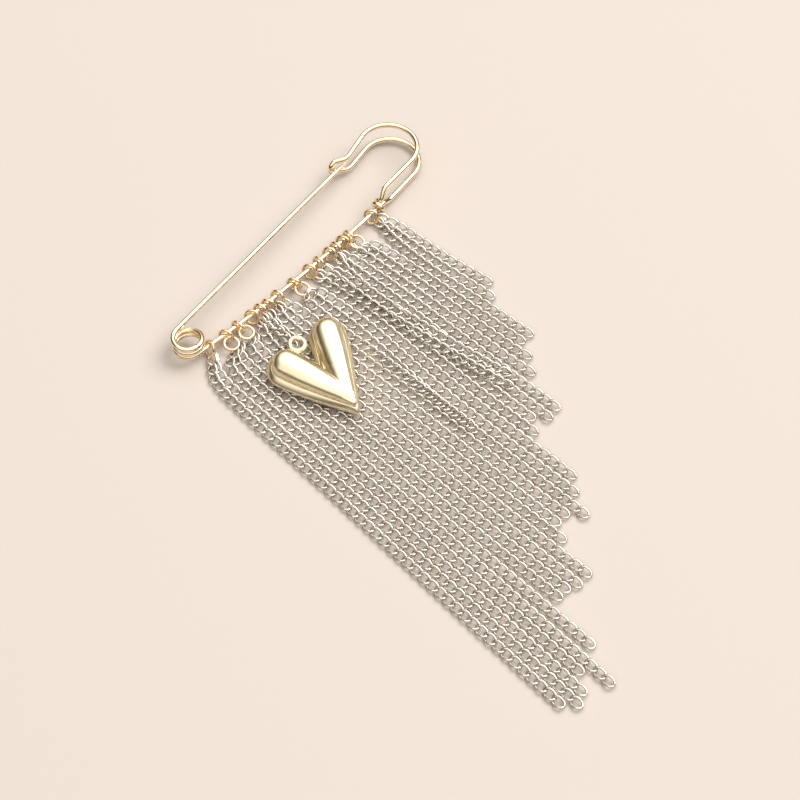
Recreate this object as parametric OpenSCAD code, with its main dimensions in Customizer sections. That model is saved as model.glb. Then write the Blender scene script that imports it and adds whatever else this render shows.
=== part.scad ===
// Safety pin brooch with a chain fringe and a heart charm, lying flat on its back.
// Millimetres. The bar's ends lie on the X axis, the chains fall towards -Y, +Z is up.

/* [Pin wire] */
// Diameter of the pin's wire
wire_d = 1.2; // [1:0.05:1.25]
// Straight distance between the two ends of the bar
bar_span = 57; // [54:0.2:62]
// How far the bar bows out towards the chains
bar_bow = 1.2; // [0.6:0.1:2.4]
// Height of the bar's centre line over the table
bar_z = 2.1; // [2:0.05:2.2]

/* [Spring coil] */
// Radius of the coil, to the middle of the wire
coil_r = 3; // [2.6:0.1:3.6]
// Rise of one turn of the coil
coil_pitch = 1.3; // [1.28:0.01:1.5]
// Running gap between the needle's end and the next turn
coil_gap = 0.1; // [0.08:0.02:0.3]

/* [Needle] */
// Straight length of the needle with its point
needle_len = 59.8; // [56:0.2:62]
// Angle between the needle and the bar's chord, in degrees
needle_rise = 7; // [6.5:0.1:7.4]
// Distance from the coil's centre to the needle's line
needle_offset = 3.4; // [3.2:0.05:3.6]
// Length of the ground point
point_len = 5; // [3:0.5:8]
// Radius left at the very tip of the point
point_r = 0.1; // [0.05:0.05:0.2]

/* [Crook] */
// Radius of the crook's bend, to the middle of the wire
crook_r = 6.6; // [6.2:0.1:7]
// Distance from the bar's end to the middle of the bend, along the bar
crook_reach = 10.5; // [9.5:0.1:12]
// Distance from the bar's chord up to the middle of the bend
crook_rise = 7.85; // [7.6:0.05:8.1]
// Height of the lower wire of the crook
crook_low_z = 1.1; // [1:0.05:1.3]
// Height of the upper wire of the crook
crook_high_z = 5.5; // [5.2:0.1:6]
// How far the upper wire leans out over the lower one
crook_lean = 0.6; // [0:0.1:0.8]
// Length of the straight leg between the bend and the flare of the hook
leg_len = 6.9; // [5:0.1:7.4]
// Length of the flare, along the bar
flare_len = 2.5; // [2.2:0.1:3]
// How far the flare carries the hook out past the needle
flare_out = 1.9; // [1.8:0.05:2.1]
// Height of the lower wire where the flare starts
hook_low_z = 1.6; // [1.5:0.05:1.65]
// Height of the upper wire where the flare starts
hook_high_z = 4.6; // [4.55:0.05:4.8]

/* [Jump rings] */
// Radius of a jump ring, to the middle of its wire
ring_r = 1.55; // [1.5:0.05:1.7]
// Diameter of a jump ring's wire
ring_wire_d = 0.65; // [0.5:0.05:0.7]
// How far a jump ring hangs off the bar, towards the chains
ring_hang = 0.4; // [0.35:0.05:0.45]
// Slope of the second rings, in degrees
lower_slope = 12; // [9:1:15]

/* [Chains] */
// Distance from the line of the bar's ends to the end of the longest chain
fringe_len = 115.4; // [110:0.2:120]
// Width of a chain that lies flat
chain_w = 2.1; // [1.6:0.05:2.15]
// Gap between two chains that lie side by side, where they fan out evenly
strand_gap = 0.2; // [0.18:0.02:0.3]
// Thickness of a chain
chain_t = 1.3; // [1:0.05:1.35]
// Width of a chain where it hangs from its ring, on edge
hang_w = 0.75; // [0.5:0.05:0.8]
// Distance between chains that share a ring
hang_step = 1; // [0.95:0.05:1.1]
// Length over which the chains fan out to their full width
fan_len = 15; // [12:0.5:20]
// Gap between the lower and the upper layer of chains
layer_gap = 0.15; // [0.1:0.05:0.3]

/* [Heart charm] */
// Radius of each lobe
lobe_r = 4.4; // [4:0.1:4.8]
// Distance from the middle line to the centre of a lobe
lobe_out = 5.9; // [5.6:0.1:6.4]
// Depth of the notch below the centres of the lobes
notch_depth = 2.6; // [1.8:0.1:3]
// Distance from the centres of the lobes down to the tip
tip_depth = 18.9; // [17:0.1:20.5]
// Height of the charm's upright edge
heart_wall = 1.5; // [1:0.1:2]
// Height of the dome over the edge
heart_dome = 3.2; // [2:0.1:3.6]
// Depth of the crease between the lobes
crease_depth = 1.5; // [0.5:0.1:1.8]
// Radius of the charm's eye, to the middle of its wire
eye_r = 1.7; // [1.6:0.05:1.9]
// Diameter of the wire of the eye
eye_wire_d = 0.85; // [0.7:0.05:0.9]
// Turn of the charm as it lies, in degrees
heart_turn = -7.2; // [-9:0.2:-5]

/* [Hidden] */
wire_r = wire_d / 2;
wire_sides = 10;
// angle between two rings of the swept wire on its tight bends
bend_step = 15;
// how far from a corner of the wire its rounding starts
corner_cut = 0.8;

// the coil: the needle takes its top turn from merge_a to split_a, the frame takes the rest
coil_out = 1.1;
coil_x = -bar_span / 2 - coil_out;
merge_a = 200;
split_a = 270;
bar_half_a = 2 * atan(2 * bar_bow / bar_span);
bar_r = bar_span / 2 / sin(bar_half_a);
coil_y = coil_r * cos(bar_half_a);
coil_top_z = bar_z + 2 * coil_pitch;
bar_x0 = coil_x - coil_r * sin(bar_half_a);
bar_x1 = bar_x0 + bar_span;
bar_mid_x = (bar_x0 + bar_x1) / 2;
function bar_y(x) = bar_r * cos(bar_half_a) - sqrt(bar_r * bar_r - pow(x - bar_mid_x, 2));

// the needle: a wide bend leads from the coil into the straight
merge_share = sin(merge_a - needle_rise);
bend_r = (needle_offset - coil_r * merge_share) / (1 - merge_share);
bend_x = coil_x + (coil_r - bend_r) * cos(merge_a);
bend_y = coil_y + (coil_r - bend_r) * sin(merge_a);
needle_start = [bend_x - bend_r * sin(needle_rise), bend_y + bend_r * cos(needle_rise), coil_top_z];
hook_z = (hook_low_z + hook_high_z) / 2;
needle_run = sqrt(pow(needle_len, 2) - pow(coil_top_z - hook_z, 2));
needle_end = [needle_start.x + needle_run * cos(needle_rise),
              needle_start.y + needle_run * sin(needle_rise), hook_z];

// the crook, seen from above; the upper wire is the same path, leaned out
lower_leg_a = 7;
upper_leg_a = 13;
base_len = 2.4;
base_out = 0.2;
crook_c = [bar_x1 + crook_reach, crook_rise];
crook_in = crook_c + crook_r * [sin(lower_leg_a), -cos(lower_leg_a)];
crook_out = crook_c + crook_r * [-sin(upper_leg_a), cos(upper_leg_a)];
leg_end = crook_out - leg_len * [cos(upper_leg_a), sin(upper_leg_a)];
hook_at = leg_end + [-flare_len, flare_out];
leg_base = [bar_x1 + base_len, base_out];
hook_r = (hook_high_z - hook_low_z) / 2;
// the turn that ties the crook's end to the bar
tie_r = wire_d + 0.05;
tie_x = bar_x1 - 0.5;
tie_lead = 1.8;
tie_turn = 420;
tie_rise = wire_d + 0.1;

// jump rings on the bar, one row each: place in percent of the bar from its middle, turn and
// lean in degrees
ring_z = ring_r + ring_wire_d / 2 + 0.1;
RINGS = [
    [-47.2, -15, 24], [-39.1, 2, 0], [-33.2, -2, 0], [-26.1, 10, 8], [-21.9, -4, 4],
    [-17.5, 6, -5], [-13, -8, 5], [-4.2, 2, 0], [4.2, 10, 6], [9.5, -5, -4],
    [15.4, 6, 8], [19.1, -3, 3], [23, 4, -4], [26.5, -2, 0], [39.6, 8, 6]];
// second rings, one row each: the ring each is linked into, and its shift along the bar
LOWER_RINGS = [[1, -0.45], [2, 0.45], [7, 0.45], [13, 0.45]];
link_y = 0.55;
link_z = 1.6;
function ring_at(i) = let(x = RINGS[i][0] / 100 * bar_span)
    [x, bar_y(x) - ring_hang, ring_z];
function lower_at(j) = let(c = ring_at(LOWER_RINGS[j][0]), dx = LOWER_RINGS[j][1],
                           back = sqrt(ring_r * ring_r - dx * dx))
    [c.x + dx, c.y - link_y - back * cos(lower_slope), link_z - back * sin(lower_slope)];

// chains, one row each: ring (second rings count on from the last one on the bar), place on the
// ring, places along the bar at 20, 45 and 70 mm below it, end, layer
CHAINS = [
    [0, -1.5, [-33.2, -34.7, -36.5], [-39.3, -111.3], 0],
    [0, -0.5, [-30.9, -32.3, -34], [-37, -113.9], 0],
    [15, -1, [-28.6, -30, -31.6], [-34.4, -112.7], 0],
    [15, 0, [-26.4, -27.6, -29.1], [-31.4, -109.4], 0],
    [15, 1, [-24.2, -25.2, -26.6], [-29.2, -115.4], 0],
    [16, -0.5, [-21.9, -22.8, -24.1], [-25.4, -107.1], 0],
    [16, 0.5, [-19.6, -20.4, -21.5], [-21.6, -95.4], 0],
    [3, -0.5, [-17.3, -18, -18.9], [-19.2, -95.3], 0],
    [3, 0.5, [-15, -15.5, -16.3], [-16.7, -96.3], 0],
    [4, 0.5, [-12.7, -13, -13.7], [-13.6, -96.1], 0],
    [5, -0.5, [-10.4, -10.5, -11.1], [-10.9, -87.1], 0],
    [5, 0.5, [-8.1, -8, -8.6], [-8.7, -83.7], 0],
    [6, 0, [-5.8, -5.5, -6.1], [-6, -83.7], 0],
    [17, 0, [-1.1, -3, -3.4], [-3.3, -86.6], 0],
    [17, 1, [1.2, -0.6, -0.8], [-0.7, -81.6], 0],
    [8, -0.5, [3.5, 2.1, 2], [1.9, -78.6], 0],
    [8, 0.5, [5.8, 4.7], [4.8, -65.7], 0],
    [9, 0.5, [8.1, 7.2], [7.1, -62.9], 0],
    [10, 0.5, [10.4, 9.8], [9.7, -65.4], 0],
    [11, 0, [12.7, 12.5], [12.6, -64.9], 0],
    [12, 0, [14.9, 15.2], [15.9, -55.2], 0],
    [18, -0.5, [17.1, 17.9], [18.7, -51.8], 0],
    [18, 0.5, [19.4, 20.4], [20.8, -47.7], 0],
    [14, -1, [21.7, 23], [23.3, -46.4], 0],
    [14, 0, [23.9], [25.1, -35.4], 0],
    [14, 1, [26.2], [27.7, -32.4], 0],
    [9, -0.5, [5.6, 8.4], [9.9, -54.5], 1],
    [10, -0.5, [7.9, 10.7], [12.2, -51.9], 1],
    [17, -1, [-3.5, -3.4], [-3.3, -55.3], 2]];
// the table is drawn for chains as wide and as long as the real ones, and is stretched to others
across = (chain_w + strand_gap) / (CHAINS[1][2][0] - CHAINS[0][2][0]);
down = fringe_len / -min([for (c = CHAINS) c[3].y]);
DEPTHS = [-20, -45, -70] * down;
bend_y0 = -8 * down;
bend_share = 0.45;
layer_z = [chain_t / 2, chain_t / 2 + chain_t + layer_gap];
hang_z = 1.15;
hang_gap = 0.3;
climb_y = -26 * down;
climbed_y = -52 * down;
tube_sides = 8;
tube_step = 5.5;

// the charm: its outline is scaled towards heart_c, ring by ring
heart_at = [-14.3 * across, -16.8 * down];
heart_z = chain_t + layer_gap;
heart_c = [0, -6];
lobe_steps = 10;
side_steps = 6;
DOME_RINGS = [1, 0.94, 0.84, 0.68, 0.48, 0.25];
eye_at = [0, 3.3];
eye_z = 1.3;

function mix(a, b, t) = a + (b - a) * t;
function clamp(t) = max(0, min(1, t));
function two(i) = str(i < 10 ? "0" : "", i);
function spline_at(a, b, c, d, t) =
    (2 * b + (c - a) * t + (2 * a - 5 * b + 4 * c - d) * t * t
     + (3 * b - a - 3 * c + d) * t * t * t) / 2;
function spline(P, step) = let(n = len(P)) concat(
    [for (i = [0:n - 2])
        let(b = P[i], c = P[i + 1], m = max(1, round(norm(c - b) / step)))
        for (k = [0:m - 1]) spline_at(P[max(i - 1, 0)], b, c, P[min(i + 2, n - 1)], k / m)],
    [P[n - 1]]);

// where a chain hangs from: the front of its ring, shifted along it
function hang_at(row, high) = let(lower = row[0] >= len(RINGS),
        c = lower ? lower_at(row[0] - len(RINGS)) : ring_at(row[0]),
        reach = ring_r * (lower ? cos(lower_slope) : 1) + ring_wire_d / 2 + hang_gap)
    [c.x + row[1] * hang_step, c.y - reach, high ? layer_z[1] : lower ? layer_z[0] + 0.1 : hang_z];

// height of a chain at a distance down: on the table, over the others, or climbing onto them
function lay_z(row, y) = row[4] == 1 ? layer_z[1] : row[4] == 2 && y < climb_y ? layer_z[1] : layer_z[0];
function tip_at(row) = [row[3].x * across, row[3].y * down];
function chain_points(row) = let(s = hang_at(row, row[4] == 1), X = row[2] * across,
                                 tip = tip_at(row)) concat(
    [s, [mix(s.x, X[0], bend_share), bend_y0, lay_z(row, bend_y0)]],
    [for (i = [0:len(X) - 1]) [X[i], DEPTHS[i], lay_z(row, DEPTHS[i])]],
    row[4] == 2 ? [[X[1], climbed_y, lay_z(row, climbed_y)]] : [],
    [[tip.x, tip.y, lay_z(row, tip.y)]]);
// a climbing chain keeps to the table down to the first place, and is up on the others at climb_y
function climb(P) = concat([P[0], P[1], P[2]], [[P[2].x, climb_y, layer_z[1]]],
                           [for (i = [3:len(P) - 1]) P[i]]);
function on_floor(P) = [for (p = P) [p.x, p.y, max(p.z, layer_z[0])]];
function chain_route(row) = let(P = chain_points(row))
    on_floor(spline(row[4] == 2 ? climb(P) : P, tube_step));

function heart_half() = let(
        far = norm([lobe_out, notch_depth]),
        open_a = atan2(notch_depth, lobe_out) + asin(lobe_r / far) + 90,
        side_a = -20,
        p0 = [lobe_out + lobe_r * cos(side_a), lobe_r * sin(side_a)],
        q = p0 + 0.35 * tip_depth * [sin(side_a), -cos(side_a)],
        t = [0.35, 0.2 - tip_depth])
    concat(
        [for (i = [0:lobe_steps]) let(a = mix(open_a, side_a, i / lobe_steps))
            [lobe_out + lobe_r * cos(a), lobe_r * sin(a)]],
        [for (i = [1:side_steps]) let(u = i / side_steps)
            (1 - u) * (1 - u) * p0 + 2 * u * (1 - u) * q + u * u * t]);
function heart_outline() = let(h = heart_half()) concat(
    [[0, -notch_depth]], h, [[0, -tip_depth]],
    [for (i = [len(h) - 1:-1:0]) [-h[i].x, h[i].y]]);
function heart_top(p, t) = heart_wall + heart_dome * pow(1 - pow(t, 2.4), 0.6)
    - crease_depth * (1 - pow(t, 6)) * exp(-pow(p.x / 1.6, 2)) * clamp((p.y + 10) / 8);

function unit(v) = v / norm(v);
function arc_points(c, r, a0, a1, z) = let(m = max(1, round(abs(a1 - a0) / bend_step)))
    [for (k = [0:m]) let(a = mix(a0, a1, k / m)) [c.x + r * cos(a), c.y + r * sin(a), z]];
function later(P) = [for (i = [1:len(P) - 1]) P[i]];
// the corners of a line, each rounded from corner_cut before it to corner_cut after it
function rounded(P) = [for (i = [0:len(P) - 1])
    if (i == 0 || i == len(P) - 1) P[i]
    else let(a = P[i] + corner_cut * unit(P[i - 1] - P[i]),
             b = P[i] + corner_cut * unit(P[i + 1] - P[i]))
        each [for (u = [0, 0.5, 1]) (1 - u) * (1 - u) * a + 2 * u * (1 - u) * P[i] + u * u * b]];

// a wire of many sides swept along its points, with a radius for each point
module swept(P, R) {
    n = len(P);
    m = wire_sides;
    T = [for (i = [0:n - 1]) unit(P[min(i + 1, n - 1)] - P[max(i - 1, 0)])];
    N = [for (i = 0, v = cross(T[0], [0, 0, 1]); i < n;
              i = i + 1, v = i < n ? unit(v - (v * T[i]) * T[i]) : v) unit(v)];
    points = [for (i = [0:n - 1]) for (k = [0:m - 1]) let(a = k * 360 / m)
        P[i] + R[i] * (cos(a) * N[i] + sin(a) * cross(T[i], N[i]))];
    walls = [for (i = [0:n - 2]) for (k = [0:m - 1])
        let(a = i * m + k, b = i * m + (k + 1) % m)
        each [[a, a + m, b + m], [a, b + m, b]]];
    caps = [[for (k = [0:m - 1]) k], [for (k = [m - 1:-1:0]) (n - 1) * m + k]];
    polyhedron(points = points, faces = concat(walls, caps), convexity = 8);
}

// half a turn of the coil that falls by one pitch, and half a turn that lies flat
function coil_fall(z) = [for (a = [0:bend_step:180])
    [coil_x + coil_r * cos(split_a + a), coil_y + coil_r * sin(split_a + a),
     z - coil_pitch * (1 - cos(a)) / 2]];
function coil_flat(z, a1) = later(arc_points([coil_x, coil_y], coil_r, split_a - 180, a1, z));
coil_path = concat(
    coil_fall(coil_top_z), coil_flat(coil_top_z - coil_pitch, split_a),
    later(coil_fall(coil_top_z - coil_pitch)), coil_flat(bar_z, split_a - bar_half_a));
bar_steps = 12;
bar_path = [for (k = [1:bar_steps - 1]) let(x = mix(bar_x0, bar_x1, k / bar_steps)) [x, bar_y(x), bar_z]];

// the bend of the crook at height z, leaned out by so much; the two wires are lofted from it
function crook_bend(out, z) = arc_points([crook_c.x, crook_c.y + out], crook_r,
    270 + lower_leg_a, 450 + upper_leg_a, z);
function turned_back(P) = [for (i = [len(P) - 1:-1:0]) P[i]];
hook_path = [for (a = [0:bend_step:180])
    [hook_at.x - hook_r * sin(a), hook_at.y, hook_z - hook_r * cos(a)]];
lower_path = rounded([bar_path[bar_steps - 2], [bar_x1, 0, bar_z],
                      [leg_base.x, leg_base.y, crook_low_z], crook_bend(0, crook_low_z)[0]]);
lower_leg = rounded([crook_out_at(0, crook_low_z), [leg_end.x, leg_end.y, hook_low_z], hook_path[0]]);
upper_leg = rounded([hook_path[len(hook_path) - 1], [leg_end.x, leg_end.y + crook_lean, hook_high_z],
                     crook_out_at(crook_lean, crook_high_z)]);
function crook_out_at(out, z) = let(P = crook_bend(out, z)) P[len(P) - 1];
// the end of the wire comes down to the bar and is wound round it
tie_path = [for (a = [0:20:tie_turn]) let(x = tie_x - tie_rise * a / 360)
    [x, bar_y(x) + tie_r * sin(a), bar_z + tie_r * cos(a)]];
down_path = rounded([crook_bend(crook_lean, crook_high_z)[0],
                     [tie_x + tie_lead, base_out + crook_lean, crook_high_z], tie_path[0], tie_path[1]]);
frame_path = concat(
    coil_path, bar_path, later(lower_path), later(crook_bend(0, crook_low_z)), later(lower_leg),
    later(hook_path), later(upper_leg), later(turned_back(crook_bend(crook_lean, crook_high_z))),
    later(down_path), [for (i = [2:len(tie_path) - 1]) tie_path[i]]);

module pin_frame() {
    color([0.93, 0.78, 0.52]) swept(frame_path, [for (p = frame_path) wire_r]);
}

module pin_needle() {
    gap_a = coil_gap / coil_r * 180 / PI;
    point_at = mix(needle_start, needle_end, 1 - point_len / needle_len);
    path = concat(
        arc_points([coil_x, coil_y], coil_r, split_a - gap_a, merge_a, coil_top_z),
        later(arc_points([bend_x, bend_y], bend_r, merge_a, 90 + needle_rise, coil_top_z)),
        [point_at, needle_end]);
    n = len(path);
    color([0.95, 0.82, 0.6]) swept(path, [for (i = [0:n - 1]) i < n - 1 ? wire_r : point_r]);
}

module ring_shape(r, d) {
    rotate_extrude($fn = 48) translate([r, 0]) circle(d = d, $fn = 24);
}

module bar_ring(i) {
    color([0.95, 0.74, 0.45]) translate(ring_at(i)) rotate([0, 0, RINGS[i][1]])
        rotate([0, 90 + RINGS[i][2], 0]) ring_shape(ring_r, ring_wire_d);
}

module lower_ring(j) {
    color([0.95, 0.8, 0.5]) translate(lower_at(j)) rotate([lower_slope, 0, 0])
        ring_shape(ring_r, ring_wire_d);
}

// a chain's room: a flat eight-sided tube along a route, narrow where it hangs
module chain_tube(P) {
    n = len(P);
    m = tube_sides;
    half = 180 / m;
    function way(i) = let(d = P[min(i + 1, n - 1)] - P[max(i - 1, 0)]) [d.x, d.y, 0] / norm([d.x, d.y]);
    function wide(i) = mix(hang_w, chain_w, clamp((P[0].y - P[i].y) / fan_len));
    points = [for (i = [0:n - 1]) let(d = way(i), w = wide(i)) for (k = [0:m - 1])
        let(a = half + k * 2 * half)
        P[i] + (w * cos(a) * [-d.y, d.x, 0] + chain_t * sin(a) * [0, 0, 1]) / 2 / cos(half)];
    walls = [for (i = [0:n - 2]) for (k = [0:m - 1])
        let(a = i * m + k, b = i * m + (k + 1) % m)
        each [[a, a + m, b + m], [a, b + m, b]]];
    caps = [[for (k = [0:m - 1]) k], [for (k = [m - 1:-1:0]) (n - 1) * m + k]];
    polyhedron(points = points, faces = concat(walls, caps), convexity = 4);
}

module chain(i) {
    color([0.66, 0.66, 0.64]) chain_tube(chain_route(CHAINS[i]));
}

// the chain that the charm hangs from ends just short of its eye
module heart_chain() {
    eye = heart_point(eye_at);
    s = hang_at([4, -0.5], true);
    e = [eye.x, eye.y + eye_r + eye_wire_d / 2 + hang_gap, layer_z[1]];
    color([0.66, 0.66, 0.64]) chain_tube(spline([s, mix(s, e, 0.5), e], 2));
}

function heart_point(p) = [heart_at.x + p.x * cos(heart_turn) - p.y * sin(heart_turn),
                           heart_at.y + p.x * sin(heart_turn) + p.y * cos(heart_turn)];

module heart_body() {
    outline = heart_outline();
    m = len(outline);
    n = len(DOME_RINGS);
    floor_ring = [for (p = outline) [p.x, p.y, 0]];
    dome = [for (t = DOME_RINGS) for (p = outline)
        let(q = heart_c + t * (p - heart_c)) [q.x, q.y, heart_top(q, t)]];
    peak = [[heart_c.x, heart_c.y, heart_top(heart_c, 0)]];
    top = (n + 1) * m;
    bands = [for (i = [0:n - 1]) for (k = [0:m - 1])
        let(a = i * m + k, b = i * m + (k + 1) % m)
        each [[a, a + m, b + m], [a, b + m, b]]];
    crown = [for (k = [0:m - 1]) [n * m + k, top, n * m + (k + 1) % m]];
    base = [[for (k = [m - 1:-1:0]) k]];
    polyhedron(points = concat(floor_ring, dome, peak), faces = concat(bands, crown, base),
               convexity = 6);
}

module heart_charm() {
    web = [2.7, 1.3];
    color([0.9, 0.82, 0.64]) translate([heart_at.x, heart_at.y, heart_z]) rotate([0, 0, heart_turn])
        union() {
            heart_body();
            translate([eye_at.x, eye_at.y, eye_z]) ring_shape(eye_r, eye_wire_d);
            translate([0, web.y, eye_z]) rotate([0, 90, 0])
                cylinder(h = 2 * web.x, d = eye_wire_d, center = true, $fn = 24);
        }
}

// the origin is under the middle of the whole brooch
left_x = min([for (c = CHAINS) tip_at(c).x]) - chain_w / 2;
right_x = crook_c.x + crook_r + wire_r;
low_y = min([for (c = CHAINS) tip_at(c).y]);
high_y = crook_c.y + crook_r + wire_r + crook_lean;
module placed() {
    translate([-(left_x + right_x) / 2, -(low_y + high_y) / 2, 0]) children();
}

RING_NAMES = [for (i = [0:len(RINGS) - 1]) str("ring_", two(i + 1))];
LOWER_NAMES = [for (j = [0:len(LOWER_RINGS) - 1]) str("lower_ring_", two(j + 1))];
CHAIN_NAMES = [for (i = [0:len(CHAINS) - 1]) str("chain_", two(i + 1))];

placed() pin_frame();
placed() pin_needle();
for (i = [0:len(RINGS) - 1]) placed() bar_ring(i);
for (j = [0:len(LOWER_RINGS) - 1]) placed() lower_ring(j);
for (i = [0:len(CHAINS) - 1]) placed() chain(i);
placed() heart_chain();
placed() heart_charm();
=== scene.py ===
"""Visual model of a safety pin brooch with a chain fringe and a heart charm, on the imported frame."""

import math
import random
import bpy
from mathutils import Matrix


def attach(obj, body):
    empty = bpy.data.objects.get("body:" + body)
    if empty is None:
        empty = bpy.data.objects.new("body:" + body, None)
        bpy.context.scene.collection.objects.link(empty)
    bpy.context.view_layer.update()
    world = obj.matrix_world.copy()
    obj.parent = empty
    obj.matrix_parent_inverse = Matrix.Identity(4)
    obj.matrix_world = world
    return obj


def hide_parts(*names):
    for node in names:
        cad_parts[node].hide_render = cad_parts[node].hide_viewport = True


bl_info = {
    "name": "Pin Brooch with Chain Fringe",
    "version": (1, 0, 0),
    "blender": (4, 5, 0),
    "location": "3D Viewport > Sidebar > Brooch",
    "description": "Builds the brooch's wire, rings, chains and charm over its frame, with a stage",
    "category": "Object",
}

import bmesh
import bpy
from mathutils import Matrix, Vector

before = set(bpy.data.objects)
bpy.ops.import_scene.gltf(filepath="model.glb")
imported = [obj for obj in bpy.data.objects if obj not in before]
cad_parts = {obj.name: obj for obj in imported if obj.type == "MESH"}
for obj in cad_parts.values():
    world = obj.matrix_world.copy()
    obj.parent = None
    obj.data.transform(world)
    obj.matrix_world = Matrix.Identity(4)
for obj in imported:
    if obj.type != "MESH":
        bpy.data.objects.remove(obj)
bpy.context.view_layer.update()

# Lengths are in millimetres and angles in degrees, in the drawing's frame: the bar's ends on the X
# axis, the chains towards -Y, +Z up from the table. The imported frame's origin lies at ORIGIN there.
ORIGIN = (2.25, -49.875)
MM = 0.001
Z_AXIS = Vector((0, 0, 1))

# the pin's wire and its bowed bar
WIRE_R = 0.6
BAR_SPAN = 57.0
BAR_BOW = 1.2
BAR_Z = 2.1
BAR_STEPS = 24

# the spring coil, where the frame's and the needle's wires meet at SPLIT_A
COIL_X = -29.6
COIL_R = 3.0
COIL_PITCH = 1.3
COIL_GAP = 0.1
SPLIT_A = 270.0

# the needle, which leaves the coil at MERGE_A, and its ground point
MERGE_A = 200.0
NEEDLE_LEN = 59.8
NEEDLE_RISE = 7.0
NEEDLE_OFFSET = 3.4
POINT_LEN = 5.0
POINT_R = 0.1
POINT_CURVE = 1.2
POINT_SHARES = (1, 0.8, 0.6, 0.4, 0.25, 0.1, 0.03, 0)

# the doubled crook: its round end, its legs, low and high, and its hook
CROOK_R = 6.6
CROOK_REACH = 10.5
CROOK_RISE = 7.85
LOW_Z = 1.1
HIGH_Z = 5.5
LEAN = 0.6
LOWER_LEG_A = 7.0
UPPER_LEG_A = 13.0
LEG_LEN = 6.9
FLARE_LEN = 2.5
FLARE_OUT = 1.9
HOOK_LOW_Z = 1.6
HOOK_HIGH_Z = 4.6
BASE_LEN = 2.4
BASE_OUT = 0.2
CORNER_CUT = 0.9
CORNER_STEPS = 5

# the wire's end, tied round the bar
TIE_R = 1.25
TIE_LEAD = 1.8
TIE_TURN = 420.0
TIE_RISE = 1.3
TIE_BACK = 0.5
TIE_CUT = 0.7

BAR_HALF_A = 2 * math.degrees(math.atan(2 * BAR_BOW / BAR_SPAN))
BAR_R = BAR_SPAN / 2 / math.sin(math.radians(BAR_HALF_A))
COIL_Y = COIL_R * math.cos(math.radians(BAR_HALF_A))
COIL_TOP = BAR_Z + 2 * COIL_PITCH
BAR_X0 = COIL_X - COIL_R * math.sin(math.radians(BAR_HALF_A))
BAR_X1 = BAR_X0 + BAR_SPAN
TIE_X = BAR_X1 - TIE_BACK
HOOK_Z = (HOOK_LOW_Z + HOOK_HIGH_Z) / 2
HOOK_R = (HOOK_HIGH_Z - HOOK_LOW_Z) / 2

# jump rings on the bar, each by its place in percent of the bar from its middle, its turn and its
# lean, and the second rings, each by the ring that it is linked into and its shift along the bar
RING_R = 1.55
RING_WIRE_R = 0.325
RING_HANG = 0.4
RING_Z = RING_R + RING_WIRE_R + 0.1
RING_STEPS = 48
RING_SIDES = 14
LOWER_SLOPE = 12.0
LOWER_Y = 0.55
LOWER_Z = 1.95
RINGS = [
    (-47.2, -15, 24), (-39.1, 24, 8), (-33.2, 8, 4), (-26.1, 33, 22), (-21.9, 16, 12),
    (-17.5, 28, -6), (-13, 12, 18), (-4.2, 28, 4), (4.2, 26, 20), (9.5, 6, 2),
    (15.4, 22, 18), (19.1, 8, 4), (23, 22, 16), (26.5, 6, 2), (39.6, 32, 24)]
LOWER_RINGS = [(1, -0.45), (2, 0.45), (7, 0.45), (13, 0.45)]

# chains, each by its ring (the second rings follow the ones on the bar), its place on the ring, its
# places along the bar at the DEPTHS, its end, and its layer: 0 on the table, 1 over the others, 2
# climbing on them
CHAINS = [
    (0, -1.5, (-33.2, -34.7, -36.5), (-39.3, -111.3), 0),
    (0, -0.5, (-30.9, -32.3, -34), (-37, -113.9), 0),
    (15, -1, (-28.6, -30, -31.6), (-34.4, -112.7), 0),
    (15, 0, (-26.4, -27.6, -29.1), (-31.4, -109.4), 0),
    (15, 1, (-24.2, -25.2, -26.6), (-29.2, -115.4), 0),
    (16, -0.5, (-21.9, -22.8, -24.1), (-25.4, -107.1), 0),
    (16, 0.5, (-19.6, -20.4, -21.5), (-21.6, -95.4), 0),
    (3, -0.5, (-17.3, -18, -18.9), (-19.2, -95.3), 0),
    (3, 0.5, (-15, -15.5, -16.3), (-16.7, -96.3), 0),
    (4, 0.5, (-12.7, -13, -13.7), (-13.6, -96.1), 0),
    (5, -0.5, (-10.4, -10.5, -11.1), (-10.9, -87.1), 0),
    (5, 0.5, (-8.1, -8, -8.6), (-8.7, -83.7), 0),
    (6, 0, (-5.8, -5.5, -6.1), (-6, -83.7), 0),
    (17, 0, (-1.1, -3, -3.4), (-3.3, -86.6), 0),
    (17, 1, (1.2, -0.6, -0.8), (-0.7, -81.6), 0),
    (8, -0.5, (3.5, 2.1, 2), (1.9, -78.6), 0),
    (8, 0.5, (5.8, 4.7), (4.8, -65.7), 0),
    (9, 0.5, (8.1, 7.2), (7.1, -62.9), 0),
    (10, 0.5, (10.4, 9.8), (9.7, -65.4), 0),
    (11, 0, (12.7, 12.5), (12.6, -64.9), 0),
    (12, 0, (14.9, 15.2), (15.9, -55.2), 0),
    (18, -0.5, (17.1, 17.9), (18.7, -51.8), 0),
    (18, 0.5, (19.4, 20.4), (20.8, -47.7), 0),
    (14, -1, (21.7, 23), (23.3, -46.4), 0),
    (14, 0, (23.9,), (25.1, -35.4), 0),
    (14, 1, (26.2,), (27.7, -32.4), 0),
    (9, -0.5, (5.6, 8.4), (9.9, -54.5), 1),
    (10, -0.5, (7.9, 10.7), (12.2, -51.9), 1),
    (17, -1, (-3.5, -3.4), (-3.3, -55.3), 2)]
DEPTHS = (-20.0, -45.0, -70.0)
CLIMB_Y = -26.0
TABLE_LAYER_Z = 0.8
UPPER_LAYER_Z = 1.5
ROUTE_STEP = 0.5

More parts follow.
